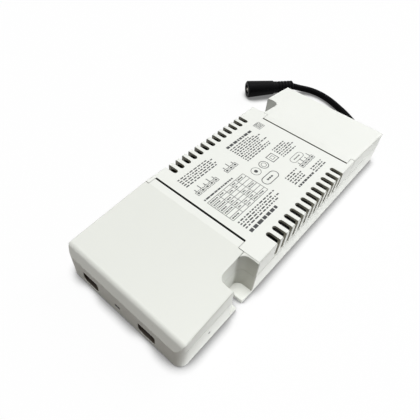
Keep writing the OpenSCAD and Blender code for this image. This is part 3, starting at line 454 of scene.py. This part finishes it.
def dress_nodes():
    slot_of = {row["node"]: row["material_slot"] for row in frame["record"]["subparts"]}
    for name, piece in nodes.items():
        piece.data.materials.clear()
        piece.data.materials.append(looks[slot_of[name]])


# Print on the housing's roof: plain bars, a grid and simple outlines, in mm
PRINT_SEED = 11
PRINT_LIFT = 0.03
HAIRLINE, THICK_LINE = 0.26, 0.4
ROUND_STEPS = 28
LINE_PITCH, LINE_HEIGHT, LINE_RAG = 1.4, 0.68, 0.3
# Shortest bar, longest bar and gap
LINE_BARS, CELL_BARS = (0.7, 2.4, 0.7), (0.5, 1.3, 0.3)
# Share of the cells left empty, and parts of a cell's height
EMPTY_CELLS, CELL_PARTS = 0.3, 3
# Shares of a terminal's pitch: its box, its dot, the sides of its stub, and where one stub and the next end
BOX_SHARE, DOT_SHARE, STUB_SIDES, STUB_ENDS = 0.82, 0.2, (0.34, 0.48), (1.3, 1.65)
SAME_PLACE = 1e-7


class Print:
    """Flat ink shapes on one plane, gathered in one mesh."""

    def __init__(self, height_mm):
        self.mesh = bmesh.new()
        self.height = height_mm
        self.draw = random.Random(PRINT_SEED)

    def face(self, corners):
        self.mesh.faces.new([self.mesh.verts.new((x * MM, y * MM, self.height * MM)) for x, y in corners])

    def corners(self, x0, y0, x1, y1):
        return (x0, y0), (x1, y0), (x1, y1), (x0, y1)

    def bar(self, x0, y0, x1, y1):
        self.face(self.corners(x0, y0, x1, y1))

    def words(self, x0, x1, y, height, shortest, longest, gap):
        """A row of bars of drawn lengths from x0 to x1."""
        while x0 + shortest < x1:
            length = min(self.draw.uniform(shortest, longest), x1 - x0)
            self.bar(x0, y, x0 + length, y + height)
            x0 += length + gap

    def block(self, x0, x1, y, count):
        """Small lines one over the other, each of a drawn length."""
        for k in range(count):
            end = x1 - (x1 - x0) * self.draw.uniform(0, LINE_RAG)
            self.words(x0, end, y + LINE_PITCH * k, LINE_HEIGHT, *LINE_BARS)

    def band(self, inner, outer):
        """A closed line between two loops of as many points."""
        count = len(inner)
        for k in range(count):
            after = (k + 1) % count
            self.face((inner[k], outer[k], outer[after], inner[after]))

    def disc(self, x, y, radius):
        self.face(self.pill_points(x, y, 0, radius))

    def pill(self, x, y, straight, radius, line):
        """A ring, or with a straight part the outline of a pill along X."""
        self.band(self.pill_points(x, y, straight, radius - line), self.pill_points(x, y, straight, radius))

    def pill_points(self, x, y, straight, radius):
        points = []
        for k in range(ROUND_STEPS):
            turn = 2 * math.pi * (k + 0.5) / ROUND_STEPS
            side = math.copysign(straight / 2, math.cos(turn))
            points.append((x + side + radius * math.cos(turn), y + radius * math.sin(turn)))
        return points

    def outline(self, x0, y0, x1, y1, line):
        inner = self.corners(x0 + line, y0 + line, x1 - line, y1 - line)
        self.band(inner, self.corners(x0, y0, x1, y1))

    def grid(self, columns, rows):
        """Hairlines at the given places, and a short row of bars in most cells."""
        half = HAIRLINE / 2
        for x in columns:
            self.bar(x - half, rows[0], x + half, rows[-1])
        for left, right in zip(columns, columns[1:]):
            for y in rows:
                self.bar(left + half, y - half, right - half, y + half)
            for low, high in zip(rows, rows[1:]):
                if self.draw.random() < EMPTY_CELLS:
                    continue
                room = (high - low) / CELL_PARTS
                end = right - room * self.draw.uniform(1, CELL_PARTS)
                self.words(left + room, end, low + room, room, *CELL_BARS)

    def strip(self, x, y, count, pitch):
        """A row of small terminals: boxes with a dot and a stub of line each."""
        box = pitch * BOX_SHARE
        for k in range(count):
            left = x + k * pitch
            self.outline(left, y, left + box, y + box, HAIRLINE)
            self.disc(left + box / 2, y + box / 2, pitch * DOT_SHARE)
            low, high = (left + pitch * share for share in STUB_SIDES)
            self.bar(low, y + box, high, y + pitch * STUB_ENDS[k % 2])

    def finish(self, name, material):
        bmesh.ops.remove_doubles(self.mesh, verts=self.mesh.verts, dist=SAME_PLACE)
        data = bpy.data.meshes.new(name)
        self.mesh.to_mesh(data)
        self.mesh.free()
        data.materials.append(material)
        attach(add(name, data), "root")


# Rows of bars: from x, to x, y, height, shortest, longest and gap
HEADINGS = (
    (-29, -8, -21.8, 1.7, 1.2, 3.4, 0.6),
    (6, 27, 19.6, 1.6, 1.0, 3.2, 0.6),
    (-29.5, -9, 4.4, 0.9, 0.8, 2.6, 0.4),
    (9, 24, -22.4, 1.1, 0.8, 2.4, 0.45),
)
SYMBOL_BARS = (
    (2.0, 7.2, -8.6, 0.9, 0.7, 1.6, 0.35),
    (24.0, 29.2, -9.9, 0.7, 0.6, 1.4, 0.35),
    *((32.2, 35.8, 18.4 + k, 0.6, 0.4, 1.2, 0.3) for k in range(4)),
)
# Blocks of small lines: from x, to x, y of the first line and how many
TEXT_BLOCKS = (
    (-29, 3, -18.8, 4), (9, 20, -19.9, 5), (24, 37, -22.6, 3),
    (22, 37, -4.6, 6), (-29, -1, 16.2, 5), (6, 29, 6.6, 9),
)
TABLE_COLUMNS = (-29.5, -22.5, -18, -13.5, -9, -3)
TABLE_ROWS = tuple(-12.0 + 2.15 * k for k in range(8))
# Rings and pills: x, y, straight part, radius and line
PILLS = (
    (4.5, -8.2, 6.0, 2.6, THICK_LINE),
    (3.0, -0.6, 0, 2.7, HAIRLINE),
    (9.6, -0.6, 0, 2.7, THICK_LINE),
    (9.6, -0.6, 0, 1.5, HAIRLINE),
    (26.5, -9.6, 6.0, 2.0, HAIRLINE),
)
# A dot: x, y and radius
DOT = (3.0, -0.6, 1.0)
# Boxes: two corners and line
BOXES = (
    (14.6, -3.2, 19.8, 2.0, THICK_LINE),
    (16.0, -1.8, 18.4, 0.6, HAIRLINE),
    (31.4, 17.6, 36.4, 22.4, HAIRLINE),
)
# Strips of terminals: x, y, how many and pitch
STRIPS = ((-29, 8.6, 5, 3.1), (-8, 8.6, 3, 3.1), (22, -16.4, 4, 3.1))


def make_print(material):
    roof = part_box("top_housing")[1][2] / MM
    ink = Print(roof + PRINT_LIFT)
    for row in HEADINGS:
        ink.words(*row)
    for block in TEXT_BLOCKS:
        ink.block(*block)
    ink.grid(TABLE_COLUMNS, TABLE_ROWS)
    for row in SYMBOL_BARS:
        ink.words(*row)
    for pill in PILLS:
        ink.pill(*pill)
    ink.disc(*DOT)
    for box in BOXES:
        ink.outline(*box)
    for strip in STRIPS:
        ink.strip(*strip)
    ink.finish("roof_print", material)


# A near-black box behind the far vents, a dark sheet of painted shade which keeps the daylight on that side
# from showing through them, in mm
SHADE_BOX_LENGTH, SHADE_BOX_WIDTH, SHADE_BOX_HEIGHT = (-30.0, 37.0), (30.8, 31.0), (13.6, 21.8)
BOX_SIDES = ((0, 1, 3, 2), (4, 6, 7, 5), (0, 4, 5, 1), (2, 3, 7, 6), (0, 2, 6, 4), (1, 5, 7, 3))


# painted shade: a near-black box behind the far vents
def make_vent_shade_box(material):
    corners = [(x * MM, y * MM, z * MM) for x in SHADE_BOX_LENGTH for y in SHADE_BOX_WIDTH for z in SHADE_BOX_HEIGHT]
    data = bpy.data.meshes.new("vent_shade_box")
    data.from_pydata(corners, [], BOX_SIDES)
    data.materials.append(material)
    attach(add("vent_shade_box", data), "root")


# Floor: what it throws back on the case, in mm. A pale card with a glowing strip lies along the lit side
# and a dark card before the near end
FLOOR_BOUNCE, LIT_CARD, DIM_CARD = (0.42, 0.42, 0.42, 1), (0.85, 0.85, 0.85), (0.12, 0.09, 0.05)
LIT_EDGE, DIM_EDGE, CARD_BLEND = -33.5, -85.0, 3.0
STRIP_REACH, STRIP_WIDTH, STRIP_GLOW = 86.0, 25.0, 1.08
CARD_ROUGHNESS = 0.9
# What is seen of it: near white with a painted contact shadow from ambient occlusion near the object and a
# faint share of its real shadow, in metres
PALE = (0.93, 0.93, 0.93, 1)
FLOOR_SIZE, FLOOR_DROP, FLOOR_GLOW = 6.0, 0.0001, 0.93
SHADOW_REACH, SHADOW_SAMPLES = 0.007, 16
SHADOW_TONES = (
    (0.48, (0.2, 0.2, 0.2)), (0.62, (0.5, 0.5, 0.5)), (0.75, (0.82, 0.82, 0.82)), (0.88, (1, 1, 1)),
)
PURE_WHITE = (1, 1, 1, 1)


def make_floor():
    look = Shader("floor")
    tree = look.tree
    x, y, _ = look.axes()
    lit = look.step(y, LIT_EDGE, LIT_EDGE - CARD_BLEND)
    dim = look.step(x, DIM_EDGE, DIM_EDGE - CARD_BLEND)
    bounce = look.blend(dim, look.blend(lit, FLOOR_BOUNCE, LIT_CARD), DIM_CARD)
    look.set(look.surface.inputs["Base Color"], bounce)
    along = look.within(x, -STRIP_REACH, STRIP_REACH)
    strip = look.math("MULTIPLY", along, look.within(y, LIT_EDGE - STRIP_WIDTH, LIT_EDGE))
    look.surface.inputs["Emission Color"].default_value = PURE_WHITE
    look.set(look.surface.inputs["Emission Strength"], look.math("MULTIPLY", strip, STRIP_GLOW))
    look.surface.inputs["Roughness"].default_value = CARD_ROUGHNESS
    look.surface.inputs["Specular IOR Level"].default_value = 0.0
    pale = look.new("ShaderNodeBsdfDiffuse", Color=PALE)
    # painted contact shadow: ambient occlusion darkens the floor's glow near the object
    painted_contact_shadow = look.new("ShaderNodeAmbientOcclusion", Distance=SHADOW_REACH)
    painted_contact_shadow.samples = SHADOW_SAMPLES
    glow = look.new("ShaderNodeEmission", Color=look.ramp(painted_contact_shadow.outputs["AO"], SHADOW_TONES), Strength=1.0)
    shown = look.new("ShaderNodeMixShader", Fac=FLOOR_GLOW)
    tree.links.new(pale.outputs[0], shown.inputs[1])
    tree.links.new(glow.outputs[0], shown.inputs[2])
    path = look.new("ShaderNodeLightPath").outputs
    seen = look.math("MAXIMUM", path["Is Camera Ray"], path["Is Glossy Ray"], path["Is Transmission Ray"])
    out = look.new("ShaderNodeMixShader", Fac=seen)
    tree.links.new(look.surface.outputs[0], out.inputs[1])
    tree.links.new(shown.outputs[0], out.inputs[2])
    tree.links.new(out.outputs[0], tree.nodes["Material Output"].inputs["Surface"])
    mesh = bmesh.new()
    bmesh.ops.create_grid(mesh, x_segments=1, y_segments=1, size=FLOOR_SIZE)
    data = bpy.data.meshes.new("floor")
    mesh.to_mesh(data)
    mesh.free()
    data.materials.append(look.material)
    floor = add("floor", data)
    floor.location.z = -FLOOR_DROP


# World and lamps
WORLD_LIGHT = 0.04
LAMP_DISTANCE = 3.0
# Name, degrees from +X towards +Y, degrees up, size in metres and watts
LAMPS = (
    ("overhead", 0, 89, 1.3, 50.0),
    ("near", 180, 72, 1.0, 18.0),
    ("far", -5, 40, 1.5, 20.0),
    ("key", -30, 25, 1.5, 9.0),
    ("left", 90, 50, 1.5, 6.0),
)


def make_world():
    """Dim to the object, and white to the eye and to gloss."""
    world = bpy.data.worlds.new("studio")
    world.use_nodes = True
    bpy.context.scene.world = world
    tree = world.node_tree
    light = tree.nodes["Background"]
    light.inputs["Color"].default_value = PURE_WHITE
    light.inputs["Strength"].default_value = WORLD_LIGHT
    white = tree.nodes.new("ShaderNodeBackground")
    white.inputs["Color"].default_value = PURE_WHITE
    path = tree.nodes.new("ShaderNodeLightPath")
    seen = path.outputs["Is Camera Ray"]
    for ray in ("Is Glossy Ray", "Is Transmission Ray"):
        either = tree.nodes.new("ShaderNodeMath")
        either.operation = "MAXIMUM"
        tree.links.new(seen, either.inputs[0])
        tree.links.new(path.outputs[ray], either.inputs[1])
        seen = either.outputs[0]
    mix = tree.nodes.new("ShaderNodeMixShader")
    tree.links.new(seen, mix.inputs["Fac"])
    tree.links.new(light.outputs[0], mix.inputs[1])
    tree.links.new(white.outputs[0], mix.inputs[2])
    tree.links.new(mix.outputs[0], tree.nodes["World Output"].inputs["Surface"])


def lamp(name, turn, height, size, power):
    """A round soft lamp that looks at the object."""
    data = bpy.data.lights.new(name, "AREA")
    data.shape = "DISK"
    data.size = size
    data.energy = power
    light = add(name, data)
    around, up = math.radians(turn), math.radians(height)
    level = math.cos(up)
    place = LAMP_DISTANCE * Vector((level * math.cos(around), level * math.sin(around), math.sin(up)))
    light.location = place
    light.rotation_euler = (-place).to_track_quat("-Z", "Y").to_euler()


make_camera()
make_lead(looks["lead_rubber"])
dress_nodes()
make_world()
make_floor()
make_print(moulded("ink", INK, 0.6, 0.3, 0.004, tone=0.3, specular=0.3))
make_vent_shade_box(moulded("vent_shade_dark", VENT_SHADE_DARK, 0.6, 0.5, 0.004, tone=0.2, specular=0.1))
for row in LAMPS:
    lamp(*row)

bpy.context.scene.view_settings.view_transform = "Standard"
